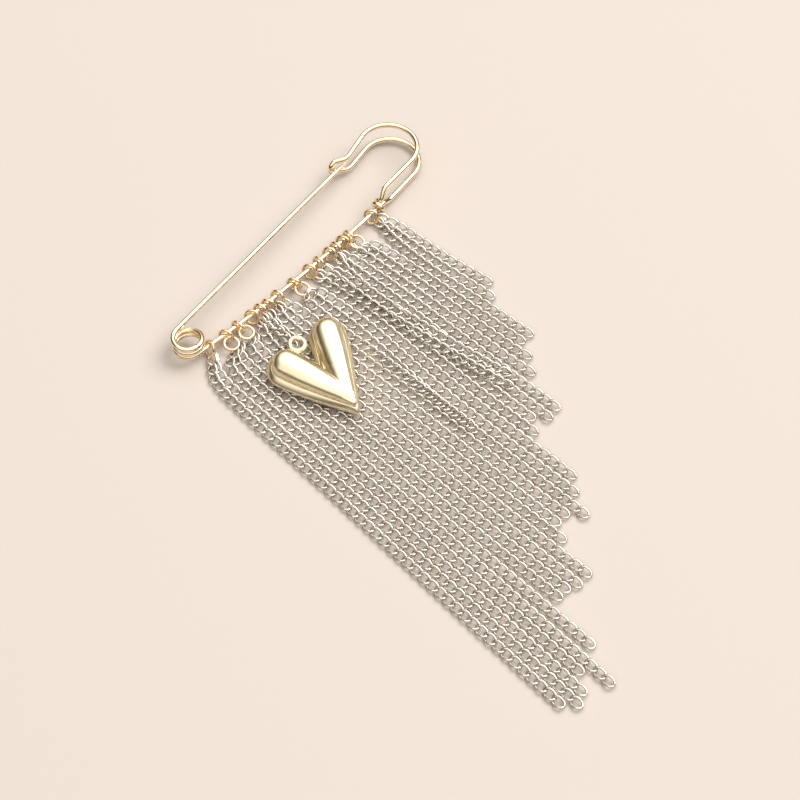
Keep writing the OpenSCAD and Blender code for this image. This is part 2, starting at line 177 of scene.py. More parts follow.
# how the chains fan out under the bar: the height of their bend and how far over they are there,
# for a few strands (by their index) further
BEND_Y = -7.5
BEND_SHARE = 0.7
BEND_SHARES = {10: 0.8, 11: 0.9, 12: 0.95}
FAN_LEN = 9.0

# how a chain starts under its ring: its clearance, its sidestep and height for its place on the
# ring, and the roll of its first links
START_CLEAR = 0.87
START_SHIFT = 0.5
START_LOW_Z = 1.0
START_ROLL = 20.0
LOWER_START_CLEAR = 0.75
LOWER_START_Z = 0.65
LOWER_START_RISE = 0.15
LOWER_START_ROLL = 35.0

# the links' sections, their chance roll and turn, and their gap over the table
LINK_STEPS = 14
LINK_SIDES = 6
ROLL_PLAY = 4
TURN_PLAY = 2
TABLE_GAP = 0.02
FIRST_SEED = 100

# the heart's outline: its lobes, where their round ends, the side's belly and the blunt tip
LOBE_R = 4.45
LOBE_OUT = 5.95
LOBE_STEPS = 28
NOTCH = 3.2
NOTCH_SHARE = 1.6
SIDE_A = -20.0
SIDE_BELLY = 0.3
SIDE_STEPS = 18
TIP = 19.4
TIP_HALF = 0.35
TIP_ROUND = 0.2

# the heart's rounded rim as inset and height, from its flat back up to the seam
BACK_INSET = 0.7
SEAM_IN = 1.15
RIM = [(0.45, 0.12), (0.18, 0.35), (0.04, 0.65), (0, 0.95), (0.05, 1.17), (0.16, 1.37), (0.35, 1.6),
       (0.58, 1.84), (0.8, 2.04), (1.0, 2.18), (1.1, 2.22), (SEAM_IN, 2.22)]

# the heart's dome: its sections as shares of the seam, its heights, and the ridges down its lobes
# (where they meet, how far short of the tip they stop, which edge is the outer one, and the powers
# of their height and their cross section)
DOME_SHARES = (0.999, 0.996, 0.99, 0.98, 0.965, 0.945, 0.92, 0.89, 0.85, 0.8, 0.74, 0.67, 0.59, 0.5,
               0.41, 0.32, 0.23, 0.15, 0.08, 0.03)
HEART_SEAM = 2.25
HEART_TOP = 5.0
HEART_CENTRE = (0.0, -7.0, 0.0)
RIDGE_MEET = -15.0
RIDGE_STEPS = 24
RIDGE_TIP_STEPS = 16
RIDGE_STOP = 0.6
EDGE_BESIDE = 0.3
EDGE_BELOW = 3.0
RIDGE_POWER = 0.8
DOME_POWER = 3.2

# the heart's place, with its right lobe a little further up than its left one
HEART_AT = (-13.85, -16.75, 1.45)
HEART_TURN = -11.0
HEART_SKEW = 0.15

# the heart's cast eye, and the chain from a ring's lower end to it
EYE_AT = (-1.0, 2.3, 2.45)
EYE_R = 1.6
EYE_WIRE_R = 0.6
EYE_LEAN = 8.0
HEART_RING = 4
HEART_CHAIN_START = (-0.25, -RING_R - 0.6)
HEART_CHAIN_START_Z = 1.7
HEART_CHAIN_END_Y = 0.3
HEART_CHAIN_END_Z = 2.0
HEART_CHAIN_ROLL = 10.0
HEART_SEED = 99

# the metals' surface: how much finer the fine grain is, the clouds' span, and the bump's depth in
# metres
CLOUD_DETAIL = 3.0
CLOUD_FROM = 0.3
CLOUD_TO = 0.7
FINE_GRAIN = 7
FINE_DETAIL = 2.0
BUMP_DEPTH = 0.00005

# the photograph's camera: its aim on the table, its turn, height and distance
AIM = (-7.97, -38.3)
VIEW_TURN = 46.7
VIEW_UP = 55.0
VIEW_DISTANCE = 500.0
LENS = 107.1
TARGET = Vector((AIM[0] - ORIGIN[0], AIM[1] - ORIGIN[1], 0)) * MM

# the stage, in metres: the table, the soft lights' directions (right and up in the picture, and up
# from the table), distances, sizes and colours, and the nearest that the camera sees
TABLE_SIZE = 1.5
TABLE_ROUGH = 0.7
NEAREST = 0.01
LIGHTS = {
    "key": ((0.75, 0.45, 1.0), 3.0, 2.2, (1, 0.98, 0.95)),
    "back": ((0.1, 1.0, 1.6), 1.5, 1.0, (1, 0.98, 0.96))}

# the room's colours by the sine of the height, and its dark side: where it is, and its edge as the
# cosine of the angle from there
ROOM = [(0.0, (0.2, 0.13, 0.07)), (0.04, (0.03, 0.018, 0.01)), (0.38, (0.06, 0.04, 0.02)),
        (0.5, (0.85, 0.8, 0.75)), (0.58, (1.35, 1.31, 1.26)), (1.0, (1.35, 1.31, 1.26))]
DARK_AT = (-0.85, 0.35, 0.4)
DARK_FROM = 0.74
DARK_FULL = 0.92


def unit_at(degrees):
    a = math.radians(degrees)
    return Vector((math.cos(a), math.sin(a), 0))


def arc(cx, cy, r, a0, a1, z, step):
    """Points on a level arc, about a step apart."""
    n = max(1, round(abs(a1 - a0) / step))
    return [Vector((cx, cy, z)) + r * unit_at(a0 + (a1 - a0) * k / n) for k in range(n + 1)]


def rounded(points, cut, steps):
    """The points with each corner between them rounded, from cut before it to cut after it."""
    out = [points[0]]
    for p, q, r in zip(points, points[1:], points[2:]):
        a = q + cut * (p - q).normalized()
        b = q + cut * (r - q).normalized()
        for k in range(steps + 1):
            u = k / steps
            out.append((1 - u) ** 2 * a + 2 * u * (1 - u) * q + u * u * b)
    return out + [points[-1]]


def spline(points, step):
    """A smooth curve through the points, with its own points about a step apart."""
    out = []
    n = len(points)
    for i in range(n - 1):
        a, b, c, d = points[max(i - 1, 0)], points[i], points[i + 1], points[min(i + 2, n - 1)]
        m = max(1, round((c - b).length / step))
        for k in range(m):
            t = k / m
            out.append((2 * b + (c - a) * t + (2 * a - 5 * b + 4 * c - d) * t * t
                        + (3 * b - a - 3 * c + d) * t ** 3) / 2)
    return out + [points[-1]]


def smooth01(t):
    t = min(1.0, max(0.0, t))
    return t * t * (3 - 2 * t)


def bar_y(x):
    """The bowed bar's middle line at x."""
    mid = (BAR_X0 + BAR_X1) / 2
    return BAR_R * math.cos(math.radians(BAR_HALF_A)) - math.sqrt(BAR_R ** 2 - (x - mid) ** 2)


def coil_fall(z, step):
    """Half a turn of the coil, falling by one pitch from z."""
    n = round(180 / step)
    return [Vector((COIL_X, COIL_Y, z - COIL_PITCH * (1 - math.cos(math.pi * k / n)) / 2))
            + COIL_R * unit_at(SPLIT_A + 180 * k / n) for k in range(n + 1)]


def coil_turns(step):
    """The frame's two turns of the coil, down to the bar."""
    half_turn = SPLIT_A - 180
    route = coil_fall(COIL_TOP, step)
    route += arc(COIL_X, COIL_Y, COIL_R, half_turn, SPLIT_A, COIL_TOP - COIL_PITCH, step)[1:]
    route += coil_fall(COIL_TOP - COIL_PITCH, step)[1:]
    return route + arc(COIL_X, COIL_Y, COIL_R, half_turn, SPLIT_A - BAR_HALF_A, BAR_Z, step)[1:]


def crook_arc(lean, z, step):
    """The crook's round end, from its lower leg to its upper one."""
    cx, cy = BAR_X1 + CROOK_REACH, CROOK_RISE + lean
    return arc(cx, cy, CROOK_R, 270 + LOWER_LEG_A, 450 + UPPER_LEG_A, z, step)


def tie_turns(step):
    """The wire's end round the bar."""
    n = round(TIE_TURN / step)
    out = []
    for k in range(n + 1):
        a = math.radians(TIE_TURN * k / n)
        x = TIE_X - TIE_RISE * a / (2 * math.pi)
        out.append(Vector((x, bar_y(x) + TIE_R * math.sin(a), BAR_Z + TIE_R * math.cos(a))))
    return out


def frame_route(step):
    """The pin's wire from its cut end in the coil to its end round the bar."""
    route = coil_turns(step)
    for k in range(1, BAR_STEPS):
        x = BAR_X0 + BAR_SPAN * k / BAR_STEPS
        route.append(Vector((x, bar_y(x), BAR_Z)))
    low = crook_arc(0, LOW_Z, step)
    high = crook_arc(LEAN, HIGH_Z, step)
    leg_end = low[-1] - LEG_LEN * unit_at(UPPER_LEG_A)
    leg_end.z = HOOK_LOW_Z
    upper_end = Vector((leg_end.x, leg_end.y + LEAN, HOOK_HIGH_Z))
    hook = Vector((leg_end.x - FLARE_LEN, leg_end.y + FLARE_OUT, HOOK_Z))
    n = round(180 / step)
    bend = [hook + Vector((-HOOK_R * math.sin(math.pi * k / n), 0, -HOOK_R * math.cos(math.pi * k / n)))
            for k in range(n + 1)]
    base = Vector((BAR_X1 + BASE_LEN, BASE_OUT, LOW_Z))
    route += rounded([route[-1], Vector((BAR_X1, 0, BAR_Z)), base, low[0]], CORNER_CUT, CORNER_STEPS)[1:]
    route += low[1:]
    route += rounded([low[-1], leg_end, bend[0]], CORNER_CUT, CORNER_STEPS)[1:]
    route += bend[1:]
    route += rounded([bend[-1], upper_end, high[-1]], CORNER_CUT, CORNER_STEPS)[1:]
    route += high[-2::-1]
    tie = tie_turns(step)
    head = Vector((TIE_X + TIE_LEAD, BASE_OUT + LEAN, HIGH_Z))
    route += rounded([high[0], head, tie[0], tie[2]], TIE_CUT, CORNER_STEPS)[1:]
    return route + tie[3:]


def needle_route(step):
    """The needle's wire from the coil to its point, with its radius at each place."""
    # a wider arc leads from the coil onto the straight, which passes the coil's axis at the offset
    sine = math.sin(math.radians(MERGE_A - NEEDLE_RISE))
    r = (NEEDLE_OFFSET - COIL_R * sine) / (1 - sine)
    centre = Vector((COIL_X, COIL_Y, COIL_TOP)) + (COIL_R - r) * unit_at(MERGE_A)
    gap = math.degrees(COIL_GAP / COIL_R)
    route = arc(COIL_X, COIL_Y, COIL_R, SPLIT_A - gap, MERGE_A, COIL_TOP, step)
    route += arc(centre.x, centre.y, r, MERGE_A, 90 + NEEDLE_RISE, COIL_TOP, step)[1:]
    start = route[-1]
    run = math.sqrt(NEEDLE_LEN ** 2 - (COIL_TOP - HOOK_Z) ** 2)
    end = start + run * unit_at(NEEDLE_RISE)
    end.z = HOOK_Z
    # the ground point: the radius falls to the tip along a slight curve
    shaft = [(quarter / 4, WIRE_R) for quarter in (1, 2, 3)]
    point = [(1 - POINT_LEN / NEEDLE_LEN * f, WIRE_R + (POINT_R - WIRE_R) * (1 - f) ** POINT_CURVE)
             for f in POINT_SHARES]
    radii = [WIRE_R] * len(route)
    for t, radius in shaft + point:
        route.append(start.lerp(end, t))
        radii.append(radius)
    return route, radii


def ring_centre(i):
    x = RINGS[i][0] / 100 * BAR_SPAN
    return Vector((x, bar_y(x) - RING_HANG, RING_Z))


def lower_centre(j):
    """The middle of a second ring, which passes through its ring on the bar and slopes down."""
    i, shift = LOWER_RINGS[j]
    c = ring_centre(i)
    back = math.sqrt(RING_R ** 2 - shift * shift)
    slope = math.radians(LOWER_SLOPE)
    return Vector((c.x + shift, c.y - LOWER_Y - back * math.cos(slope), LOWER_Z - back * math.sin(slope)))


def placed(p, x, y, z):
    """A matrix with these axes at a place."""
    m = Matrix((x, y, z)).transposed().to_4x4()
    m.translation = p
    return m


def turned(degrees, axis):
    return Matrix.Rotation(math.radians(degrees), 4, axis)


def transported(points, closed=False):
    """A matrix at each point of a route: X and Y across it, Z along it, with no needless twist."""
    n = len(points)
    tangents = []
    for i in range(n):
        a = points[(i - 1) % n] if closed or i else points[0]
        b = points[(i + 1) % n] if closed or i < n - 1 else points[-1]
        tangents.append((b - a).normalized())
    side = tangents[0].cross(Z_AXIS)
    if side.length < 0.01:
        side = Vector((1, 0, 0))
    out = []
    for p, t in zip(points, tangents):
        side = (side - side.dot(t) * t).normalized()
        out.append(placed(p, side, t.cross(side), t))
    return out


def extruded(bm, edges):
    """Extrudes a loop of edges where it lies, and gives its new corners and edges."""
    new = bmesh.ops.extrude_edge_only(bm, edges=edges)["geom"]
    verts = [g for g in new if isinstance(g, bmesh.types.BMVert)]
    there = set(verts)
    return verts, [g for g in new if isinstance(g, bmesh.types.BMEdge) and set(g.verts) <= there]


def loft(bm, places, radii, sides, closed=False):
    """Extrudes a circle from place to place, and joins or caps its ends."""
    mats = [m @ Matrix.Diagonal((r, r, 1, 1)) for m, r in zip(places, radii)]
    made = bmesh.ops.create_circle(bm, cap_ends=False, segments=sides, radius=1.0, matrix=mats[0])
    first = list({e for v in made["verts"] for e in v.link_edges})
    edges = first
    for a, b in zip(mats, mats[1:]):
        verts, edges = extruded(bm, edges)
        bmesh.ops.transform(bm, matrix=b @ a.inverted(), verts=verts)
    if closed:
        bmesh.ops.bridge_loops(bm, edges=first + edges)
    else:
        bmesh.ops.edgeloop_fill(bm, edges=first)
        bmesh.ops.edgeloop_fill(bm, edges=edges)


def loft_ring(bm, radius, wire_r, sides):
    """A closed ring of round wire, level about the origin."""
    step = 360 / RING_STEPS
    route = arc(0, 0, radius, 0, 360 - step, 0, step)
    loft(bm, transported(route, closed=True), [wire_r] * len(route), sides, closed=True)


def finished(bm, name, material, body, replaced, smooth_angle=60.0):
    """Turns a bmesh in the drawing's millimetres into a piece of the visual model."""
    bmesh.ops.translate(bm, verts=bm.verts, vec=(-ORIGIN[0], -ORIGIN[1], 0))
    bmesh.ops.scale(bm, verts=bm.verts, vec=(MM, MM, MM))
    bmesh.ops.recalc_face_normals(bm, faces=bm.faces)
    mesh = bpy.data.meshes.new(name)
    bm.to_mesh(mesh)
    bm.free()
    mesh.materials.append(material)
    mesh.shade_smooth()
    if smooth_angle:
        mesh.set_sharp_from_angle(angle=math.radians(smooth_angle))
    obj = bpy.data.objects.new(name, mesh)
    bpy.context.scene.collection.objects.link(obj)
    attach(obj, body)
    if replaced:
        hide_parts(*replaced)


def metal(name, colour, deep, rough, worn, grain, bump):
    """A polished metal whose colour, gloss and surface vary softly over the piece."""
    mat = bpy.data.materials.get(name)
    if mat:
        return mat
    mat = bpy.data.materials.new(name)
    mat.use_nodes = True
    nodes, links = mat.node_tree.nodes, mat.node_tree.links
    shader = nodes["Principled BSDF"]
    shader.inputs["Metallic"].default_value = 1.0
    where = nodes.new("ShaderNodeTexCoord")
    cloud = nodes.new("ShaderNodeTexNoise")
    cloud.inputs["Scale"].default_value = grain
    cloud.inputs["Detail"].default_value = CLOUD_DETAIL
    fine = nodes.new("ShaderNodeTexNoise")
    fine.inputs["Scale"].default_value = grain * FINE_GRAIN
    fine.inputs["Detail"].default_value = FINE_DETAIL
    for n in (cloud, fine):
        links.new(where.outputs["Object"], n.inputs["Vector"])
    ramp = nodes.new("ShaderNodeValToRGB")
    ramp.color_ramp.elements[0].position = CLOUD_FROM
    ramp.color_ramp.elements[0].color = (*deep, 1)
    ramp.color_ramp.elements[1].position = CLOUD_TO
    ramp.color_ramp.elements[1].color = (*colour, 1)
    links.new(cloud.outputs["Fac"], ramp.inputs["Fac"])
    links.new(ramp.outputs["Color"], shader.inputs["Base Color"])
    gloss = nodes.new("ShaderNodeMapRange")
    gloss.inputs["To Min"].default_value = rough
    gloss.inputs["To Max"].default_value = worn
    links.new(fine.outputs["Fac"], gloss.inputs["Value"])
    links.new(gloss.outputs["Result"], shader.inputs["Roughness"])
    bumps = nodes.new("ShaderNodeBump")
    bumps.inputs["Strength"].default_value = bump
    bumps.inputs["Distance"].default_value = BUMP_DEPTH
    links.new(fine.outputs["Fac"], bumps.inputs["Height"])
    links.new(bumps.outputs["Normal"], shader.inputs["Normal"])
    return mat


# The metals aren't named like the record's slots, because the loaded frame has plain ones of those
# names.
def pin_gold():
    c = bpy.context.scene.brooch_colours
    return metal("polished_pin_gold", c.pin, c.pin_deep, rough=0.12, worn=0.2, grain=160.0, bump=0.12)


def ring_gold():
    c = bpy.context.scene.brooch_colours
    return metal("polished_ring_gold", c.ring, c.ring_deep, rough=0.16, worn=0.26, grain=300.0, bump=0.15)


def chain_steel():
    c = bpy.context.scene.brooch_colours
    return metal("polished_chain_steel", c.chain, c.chain_deep, rough=0.22, worn=0.34, grain=260.0,
                 bump=0.15)


def charm_gold():
    c = bpy.context.scene.brooch_colours
    return metal("polished_charm_gold", c.charm, c.charm_deep, rough=0.28, worn=0.38, grain=120.0,
                 bump=0.12)


class BROOCH_PG_sizes(bpy.types.PropertyGroup):
    wire_sides: bpy.props.IntProperty(
        name="Wire sides", description="Sides of the pin's wire and of the heart's eye",
        default=20, min=8, max=32)
    turn_step: bpy.props.FloatProperty(
        name="Turn step", description="Angle between two sections on the wire's bends, in degrees",
        default=5.0, min=2.0, max=15.0)
    link_length: bpy.props.FloatProperty(
        name="Link length", description="Length of a curb link, outside", default=3.42 * MM,
        min=2 * MM, max=5 * MM, unit="LENGTH", precision=5)
    link_width: bpy.props.FloatProperty(
        name="Link width", description="Width of a curb link, outside", default=2.52 * MM,
        min=1.5 * MM, max=4 * MM, unit="LENGTH", precision=5)
    link_wire: bpy.props.FloatProperty(
        name="Link wire", description="Diameter of the links' wire", default=0.54 * MM,
        min=0.3 * MM, max=0.7 * MM, unit="LENGTH", precision=5)
    link_pitch: bpy.props.FloatProperty(
        name="Link pitch", description="Distance from one link to the next", default=2.35 * MM,
        min=1.5 * MM, max=4 * MM, unit="LENGTH", precision=5)
    link_twist: bpy.props.FloatProperty(
        name="Link twist", description="How far a link's wire rises and falls, so that links pass each other",
        default=0.29 * MM, min=0.1 * MM, max=0.5 * MM, unit="LENGTH", precision=5)
    link_roll: bpy.props.FloatProperty(
        name="Link roll", description="How far the links lean, so that one chain's edge lies over the next",
        default=math.radians(13), min=0, max=math.radians(30), subtype="ANGLE")


def colour_property(name, what, value):
    return bpy.props.FloatVectorProperty(
        name=name, description=what, default=value, size=3, min=0, max=1, subtype="COLOR")


class BROOCH_PG_colours(bpy.types.PropertyGroup):
    pin: colour_property("Pin gold", "Colour of the pin's plating", (0.95, 0.83, 0.62))
    pin_deep: colour_property(
        "Pin gold, deep", "Colour of the pin's plating where it is warmer", (0.88, 0.72, 0.46))
    ring: colour_property("Ring gold", "Colour of the jump rings", (0.94, 0.77, 0.54))
    ring_deep: colour_property(
        "Ring gold, deep", "Colour of the jump rings where they are warmer", (0.87, 0.63, 0.38))
    chain: colour_property("Chain", "Colour of the chains", (0.76, 0.72, 0.65))
    chain_deep: colour_property(
        "Chain, deep", "Colour of the chains where they are duller", (0.66, 0.615, 0.54))
    charm: colour_property("Charm gold", "Colour of the charm", (0.94, 0.84, 0.62))
    charm_deep: colour_property(
        "Charm gold, deep", "Colour of the charm where it is warmer", (0.87, 0.74, 0.48))


class BROOCH_PG_stage(bpy.types.PropertyGroup):
    floor: colour_property("Floor", "Colour of the table", (0.605, 0.54, 0.488))
    sky: bpy.props.FloatProperty(
        name="Sky strength", description="Brightness of the soft light from all round",
        default=1.0, min=0, max=5)
    dark: bpy.props.FloatProperty(
        name="Dark side", description="Brightness of the room's dark side on the left, of the sky's",
        default=0.15, min=0, max=1)
    key: bpy.props.FloatProperty(
        name="Key light", description="Power of the large soft light on the right", default=56.0,
        min=0, max=100, subtype="POWER")
    back: bpy.props.FloatProperty(
        name="Back light", description="Power of the soft light behind the object", default=3.0,
        min=0, max=100, subtype="POWER")


class BROOCH_OT_pin_wire(bpy.types.Operator):
    """Build the pin's bent wire and its needle"""
    bl_idname = "brooch.pin_wire"
    bl_label = "Pin Wire"

    def execute(self, context):
        s = context.scene.brooch_sizes
        route = frame_route(s.turn_step)
        bm = bmesh.new()
        loft(bm, transported(route), [WIRE_R] * len(route), s.wire_sides)
        finished(bm, "pin_wire", pin_gold(), "brooch", ["pin_frame"])
        route, radii = needle_route(s.turn_step)
        bm = bmesh.new()
        loft(bm, transported(route), radii, s.wire_sides)
        finished(bm, "needle_wire", pin_gold(), "needle", ["pin_needle"])
        return {"FINISHED"}


class BROOCH_OT_jump_rings(bpy.types.Operator):
    """Build the gold jump rings on the bar and the second ones linked into them"""
    bl_idname = "brooch.jump_rings"
    bl_label = "Jump Rings"

    def execute(self, context):
        places = {}
        for i, (_, turn, lean) in enumerate(RINGS):
            place = Matrix.Translation(ring_centre(i)) @ turned(turn, "Z") @ turned(90 + lean, "Y")
            places[f"ring_{i + 1:02d}"] = place
        for j in range(len(LOWER_RINGS)):
            place = Matrix.Translation(lower_centre(j)) @ turned(LOWER_SLOPE, "X")
            places[f"lower_ring_{j + 1:02d}"] = place
        for node, place in places.items():
            bm = bmesh.new()
            loft_ring(bm, RING_R, RING_WIRE_R, RING_SIDES)
            bmesh.ops.transform(bm, matrix=place, verts=bm.verts)
            finished(bm, "gold_" + node, ring_gold(), "brooch", [node])
        return {"FINISHED"}


def link_template(s):
    """One curb link, its wire rising and falling so that equal links pass through each other."""
    wire = s.link_wire / MM
    a, b = (s.link_length / MM - wire) / 2, (s.link_width / MM - wire) / 2
    h = s.link_twist / MM
    points = []
    for k in range(LINK_STEPS):
        t = 2 * math.pi * (k + 0.5) / LINK_STEPS
        points.append(Vector((a * math.cos(t), b * math.sin(t), -h * math.sin(2 * t))))
    bm = bmesh.new()
    loft(bm, transported(points, closed=True), [wire / 2] * LINK_STEPS, LINK_SIDES, closed=True)
    bmesh.ops.recalc_face_normals(bm, faces=bm.faces)
    mesh = bpy.data.meshes.new("link_template")
    bm.to_mesh(mesh)
    bm.free()
    return mesh


def strand_start(ring, off, layer):
    """Where a chain starts under its ring, and how far its first links are rolled on edge."""
    if ring >= len(RINGS):
        c = lower_centre(ring - len(RINGS))
        reach = (math.cos(math.radians(LOWER_SLOPE)) * math.sqrt(RING_R ** 2 - off ** 2)
                 + LOWER_START_CLEAR)
        start = Vector((c.x + off, c.y - reach, LOWER_START_Z + LOWER_START_RISE * off))
        return start, LOWER_START_ROLL
    z = UPPER_LAYER_Z if layer == 1 or off > 0 else START_LOW_Z
    reach = math.sqrt(RING_R ** 2 - (z - RING_Z) ** 2) + START_CLEAR
    down = unit_at(RINGS[ring][1] - 90)
    start = ring_centre(ring) + reach * down + Vector((START_SHIFT * off, 0, 0))
    start.z = z
    return start, START_ROLL


def strand(index):
    """The route of a chain's links, and how far its first links are rolled on edge."""
    ring, off, xs, tip, layer = CHAINS[index]
    start, roll = strand_start(ring, off, layer)
    rest = UPPER_LAYER_Z if layer == 1 else TABLE_LAYER_Z
    share = BEND_SHARES.get(index, BEND_SHARE)
    points = [start, Vector((start.x + (xs[0] - start.x) * share, BEND_Y, rest))]
    for x, y in zip(xs, DEPTHS):
        climbed = layer == 2 and y < CLIMB_Y
        points.append(Vector((x, y, UPPER_LAYER_Z if climbed else rest)))
        if layer == 2 and not climbed:
            points.append(Vector((x, CLIMB_Y, UPPER_LAYER_Z)))
    points.append(Vector((tip[0], tip[1], UPPER_LAYER_Z if layer else TABLE_LAYER_Z)))
    return spline(points, ROUTE_STEP), roll


def along(route, distances):
    """Points and directions at distances along a route."""
    total, k = 0.0, 0
    out = []
    for d in distances:
        while k < len(route) - 2 and total + (route[k + 1] - route[k]).length < d:
            total += (route[k + 1] - route[k]).length
            k += 1
        step = route[k + 1] - route[k]
        out.append((route[k] + step * min(1.0, (d - total) / step.length), step.normalized()))
    return out


def lay_links(name, node, route, roll, s, template, seed):
    """Lays links along a route, rolled on edge at its start and a little uneven all the way."""
    rnd = random.Random(seed)
    length = sum((b - a).length for a, b in zip(route, route[1:]))
    half = s.link_length / MM / 2
    count = max(2, int(round((length - half) / (s.link_pitch / MM))) + 1)
    pitch = (length - half) / (count - 1)
    bm = bmesh.new()
    for k, (p, way) in enumerate(along(route, [pitch * i for i in range(count)])):
        side = Z_AXIS.cross(way).normalized()
        share = smooth01(1 - pitch * k / FAN_LEN)
        play = rnd.uniform(-ROLL_PLAY, ROLL_PLAY) * (1 + share)
        angle = s.link_roll * (1 - share) + math.radians(roll * share + play)
        lie = placed(p, way, side, way.cross(side))
        m = lie @ Matrix.Rotation(angle, 4, "X") @ turned(rnd.uniform(-TURN_PLAY, TURN_PLAY), "Z")
        before = len(bm.verts)
        bm.from_mesh(template)
        bm.verts.ensure_lookup_table()
        verts = bm.verts[before:]
        bmesh.ops.transform(bm, matrix=m, verts=verts)
        low = min(v.co.z for v in verts)
        if low < TABLE_GAP:
            bmesh.ops.translate(bm, verts=verts, vec=(0, 0, TABLE_GAP - low))
    finished(bm, name, chain_steel(), "brooch", [node], smooth_angle=0)


class BROOCH_OT_chains(bpy.types.Operator):
    """Build the curb chains link by link along their routes"""
    bl_idname = "brooch.chains"
    bl_label = "Chains"

    def execute(self, context):
        s = context.scene.brooch_sizes
        template = link_template(s)
        for i in range(len(CHAINS)):
            route, roll = strand(i)
            name, node = f"links_{i + 1:02d}", f"chain_{i + 1:02d}"
            lay_links(name, node, route, roll, s, template, FIRST_SEED + i)
        c = ring_centre(HEART_RING)
        eye = heart_matrix() @ Vector(EYE_AT)
        start = Vector((c.x + HEART_CHAIN_START[0], c.y + HEART_CHAIN_START[1], HEART_CHAIN_START_Z))
        end = Vector((eye.x, eye.y + HEART_CHAIN_END_Y, HEART_CHAIN_END_Z))
        route = spline([start, start.lerp(end, 0.5), end], ROUTE_STEP)
        lay_links("heart_links", "heart_chain", route, HEART_CHAIN_ROLL, s, template, HEART_SEED)
        bpy.data.meshes.remove(template)
        return {"FINISHED"}


def heart_matrix():
    """Places the heart; its right lobe lies a little further up than its left one."""
    skew = Matrix(((1, 0, 0, 0), (HEART_SKEW, 1, 0, 0), (0, 0, 1, 0), (0, 0, 0, 1)))
    return Matrix.Translation(HEART_AT) @ turned(HEART_TURN, "Z") @ skew


def heart_outline(inset):
    """The heart's outline, drawn in by the inset all round."""
    r, notch, tip = LOBE_R - inset, NOTCH + NOTCH_SHARE * inset, TIP - inset
    far = math.hypot(LOBE_OUT, notch)
    notch_a = math.degrees(math.atan2(notch, LOBE_OUT) + math.asin(r / far)) + 90
    lobe = Vector((LOBE_OUT, 0, 0))
    side = lobe + r * unit_at(SIDE_A)
    belly = side + SIDE_BELLY * tip * unit_at(SIDE_A - 90)
    end = Vector((TIP_HALF, TIP_ROUND - tip, 0))
    half = [lobe + r * unit_at(notch_a + (SIDE_A - notch_a) * i / LOBE_STEPS) for i in range(LOBE_STEPS + 1)]
    for i in range(1, SIDE_STEPS + 1):
        u = i / SIDE_STEPS
        half.append((1 - u) ** 2 * side + 2 * u * (1 - u) * belly + u * u * end)
    mirrored = [Vector((-p.x, p.y, 0)) for p in reversed(half)]
    return [Vector((0, -notch, 0))] + half + [Vector((0, -tip, 0))] + mirrored


def heart_ridge(outline):
    """Points down the ridge of each lobe and on to the tip, with their reach and height."""
    edge = [p for p in outline if p.x >= 0]
    end = min(p.y for p in outline) + RIDGE_STOP
    line = []
    for k in range(RIDGE_STEPS + 1):
        u = k / RIDGE_STEPS
        line.append(Vector((LOBE_OUT * (1 - u), RIDGE_MEET * u, 0)))
    for k in range(1, RIDGE_TIP_STEPS + 1):
        line.append(Vector((0, RIDGE_MEET + (end - RIDGE_MEET) * k / RIDGE_TIP_STEPS, 0)))
    out = []
    for c in line:
        outer = [p for p in edge if p.x > c.x + EDGE_BESIDE or p.y < c.y - EDGE_BELOW]
        reach = min((p - c).length for p in outer)
        out.append((c, reach, min(1.0, (reach / (LOBE_R - SEAM_IN)) ** RIDGE_POWER)))
    return out


def heart_height(p, ridge):
    """Round lobes along the two ridges; they meet in a crease, deepest at the notch."""
    q = Vector((abs(p.x), p.y, 0))
    best = 0.0
    for c, reach, tall in ridge:
        d = (q - c).length / reach
        if d < 1:
            best = max(best, tall * math.sqrt(1 - d ** DOME_POWER))
    return HEART_SEAM + (HEART_TOP - HEART_SEAM) * best


def heart_sections():
    """The heart's sections over its back: up its rounded rim, and then in over its dome."""
    sections = [[(p, z) for p in heart_outline(inset)] for inset, z in RIM]
    seam = heart_outline(SEAM_IN)
    ridge = heart_ridge(seam)
    centre = Vector(HEART_CENTRE)
    for share in DOME_SHARES:
        places = [centre + share * (p - centre) for p in seam]
        sections.append([(p, heart_height(p, ridge)) for p in places])
    return sections


class BROOCH_OT_heart(bpy.types.Operator):
    """Build the puffed heart with its cast eye"""
    bl_idname = "brooch.heart"
    bl_label = "Heart Charm"

    def execute(self, context):
        s = context.scene.brooch_sizes
        bm = bmesh.new()
        order = [bm.verts.new(p) for p in heart_outline(BACK_INSET)]
        back = [bm.edges.new((a, b)) for a, b in zip(order, order[1:] + order[:1])]
        edges = back
        for section in heart_sections():
            verts, edges = extruded(bm, edges)
            there = set(verts)
            # the new corners in the order of the ones that they come from
            order = [next(e.other_vert(v) for e in v.link_edges if e.other_vert(v) in there) for v in order]
            for v, (p, z) in zip(order, section):
                v.co = (p.x, p.y, z)
        bmesh.ops.edgeloop_fill(bm, edges=edges)
        bmesh.ops.edgeloop_fill(bm, edges=back)
        bmesh.ops.transform(bm, matrix=heart_matrix(), verts=bm.verts)
        finished(bm, "heart_body", charm_gold(), "brooch", ["heart_charm"])
        bm = bmesh.new()
        loft_ring(bm, EYE_R, EYE_WIRE_R, s.wire_sides)
        place = Matrix.Translation(heart_matrix() @ Vector(EYE_AT))
        lie = turned(HEART_TURN, "Z") @ turned(EYE_LEAN, "X")
        bmesh.ops.transform(bm, matrix=place @ lie, verts=bm.verts)
        finished(bm, "heart_eye", charm_gold(), "brooch", [])
        return {"FINISHED"}


def picture_axes():
    """The picture's right and up, as they lie on the table."""
    turn = math.radians(VIEW_TURN)
    return Vector((math.cos(turn), -math.sin(turn), 0)), Vector((math.sin(turn), math.cos(turn), 0))


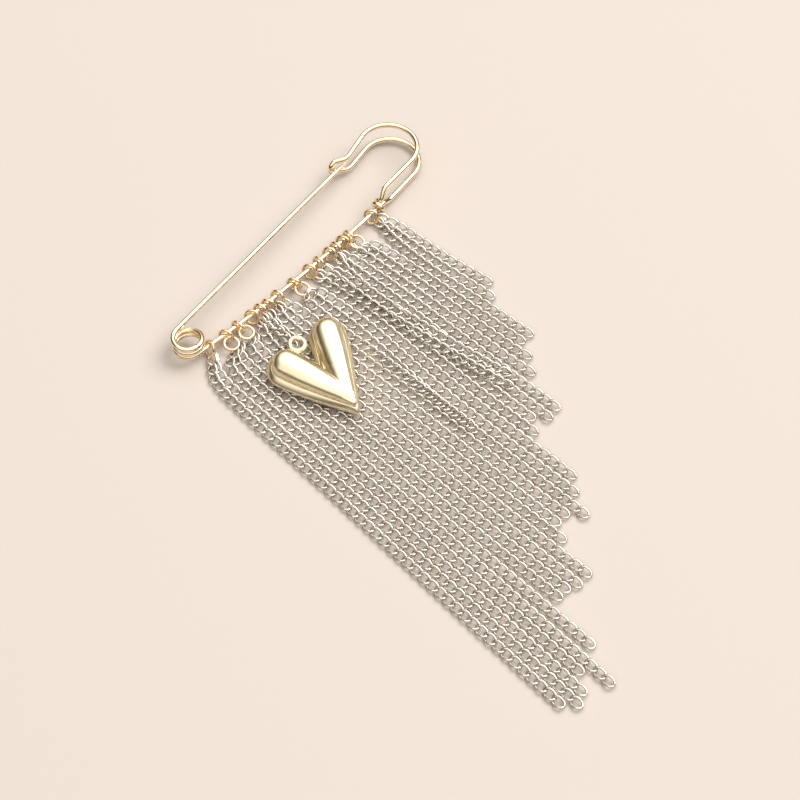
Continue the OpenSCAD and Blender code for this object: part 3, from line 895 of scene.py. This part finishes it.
def direction(along_right, along_up, height):
    """A direction from its parts along the picture's right and up, and up from the table."""
    right, up = picture_axes()
    return (along_right * right + along_up * up + height * Z_AXIS).normalized()


def lay_table(colour):
    """The plain table."""
    bm = bmesh.new()
    bmesh.ops.create_grid(bm, x_segments=2, y_segments=2, size=TABLE_SIZE)
    mesh = bpy.data.meshes.new("table")
    bm.to_mesh(mesh)
    bm.free()
    table = bpy.data.objects.new("table", mesh)
    bpy.context.scene.collection.objects.link(table)
    mat = bpy.data.materials.new("table")
    mat.use_nodes = True
    shader = mat.node_tree.nodes["Principled BSDF"]
    shader.inputs["Base Color"].default_value = (*colour, 1)
    shader.inputs["Roughness"].default_value = TABLE_ROUGH
    mesh.materials.append(mat)


def set_camera():
    """The camera where the photograph's was."""
    right, up = picture_axes()
    rise = math.radians(VIEW_UP)
    data = bpy.data.cameras.new("photo_camera")
    data.lens = LENS
    data.clip_start = NEAREST
    camera = bpy.data.objects.new("photo_camera", data)
    bpy.context.scene.collection.objects.link(camera)
    back = -math.cos(rise) * up + Vector((0, 0, math.sin(rise)))
    camera.matrix_world = placed(TARGET + VIEW_DISTANCE * MM * back, right, back.cross(right), back)
    bpy.context.scene.camera = camera


def soft_light(name, power):
    """A large round light that looks at the object."""
    way, distance, size, colour = LIGHTS[name]
    light = bpy.data.lights.new(name, "AREA")
    light.shape = "DISK"
    light.size = size
    light.energy = power
    light.color = colour
    obj = bpy.data.objects.new(name, light)
    bpy.context.scene.collection.objects.link(obj)
    d = direction(*way)
    obj.location = TARGET + distance * d
    obj.rotation_euler = d.to_track_quat("Z", "Y").to_euler()


def soft_room(strength, dark):
    """The light room all round, dark below and on its left side, for the metals to mirror."""
    world = bpy.data.worlds.new("soft_room")
    bpy.context.scene.world = world
    world.use_nodes = True
    nodes, links = world.node_tree.nodes, world.node_tree.links
    room = nodes["Background"]
    room.inputs["Strength"].default_value = strength
    where = nodes.new("ShaderNodeTexCoord")
    split = nodes.new("ShaderNodeSeparateXYZ")
    links.new(where.outputs["Generated"], split.inputs["Vector"])
    ramp = nodes.new("ShaderNodeValToRGB")
    while len(ramp.color_ramp.elements) < len(ROOM):
        ramp.color_ramp.elements.new(0.5)
    for mark, (height, colour) in zip(ramp.color_ramp.elements, ROOM):
        mark.position = height
        mark.color = (*colour, 1)
    links.new(split.outputs["Z"], ramp.inputs["Fac"])
    facing = nodes.new("ShaderNodeVectorMath")
    facing.operation = "DOT_PRODUCT"
    facing.inputs[1].default_value = direction(*DARK_AT)
    links.new(where.outputs["Generated"], facing.inputs[0])
    shade = nodes.new("ShaderNodeMapRange")
    shade.inputs["From Min"].default_value = DARK_FROM
    shade.inputs["From Max"].default_value = DARK_FULL
    shade.inputs["To Min"].default_value = 1.0
    shade.inputs["To Max"].default_value = dark
    links.new(facing.outputs["Value"], shade.inputs["Value"])
    dim = nodes.new("ShaderNodeVectorMath")
    dim.operation = "SCALE"
    links.new(ramp.outputs["Color"], dim.inputs[0])
    links.new(shade.outputs["Result"], dim.inputs["Scale"])
    links.new(dim.outputs["Vector"], room.inputs["Color"])


class BROOCH_OT_stage(bpy.types.Operator):
    """Set the table, the soft light and the photograph's camera"""
    bl_idname = "brooch.stage"
    bl_label = "Stage"

    def execute(self, context):
        st = context.scene.brooch_stage
        lay_table(st.floor)
        set_camera()
        soft_light("key", st.key)
        soft_light("back", st.back)
        soft_room(st.sky, st.dark)
        context.scene.view_settings.view_transform = "Standard"
        return {"FINISHED"}


class BROOCH_PT_panel(bpy.types.Panel):
    """The brooch's sizes, colours and steps"""
    bl_idname = "BROOCH_PT_panel"
    bl_label = "Brooch"
    bl_space_type = "VIEW_3D"
    bl_region_type = "UI"
    bl_category = "Brooch"

    def draw(self, context):
        for group in GROUPS:
            props = getattr(context.scene, group)
            box = self.layout.box()
            for key in props.__annotations__:
                box.prop(props, key)
        for op in STEPS:
            self.layout.operator(op.bl_idname)


STEPS = (BROOCH_OT_pin_wire, BROOCH_OT_jump_rings, BROOCH_OT_chains, BROOCH_OT_heart, BROOCH_OT_stage)
GROUPS = {
    "brooch_sizes": BROOCH_PG_sizes,
    "brooch_colours": BROOCH_PG_colours,
    "brooch_stage": BROOCH_PG_stage}


def register():
    for cls in (*GROUPS.values(), *STEPS, BROOCH_PT_panel):
        bpy.utils.register_class(cls)
    for name, cls in GROUPS.items():
        setattr(bpy.types.Scene, name, bpy.props.PointerProperty(type=cls))


def unregister():
    for name in GROUPS:
        delattr(bpy.types.Scene, name)
    for cls in (BROOCH_PT_panel, *reversed(STEPS), *reversed(GROUPS.values())):
        bpy.utils.unregister_class(cls)


def main():
    register()
    bpy.ops.brooch.pin_wire()
    bpy.ops.brooch.jump_rings()
    bpy.ops.brooch.chains()
    bpy.ops.brooch.heart()
    bpy.ops.brooch.stage()
    bpy.context.view_layer.update()


if __name__ == "__main__":
    main()
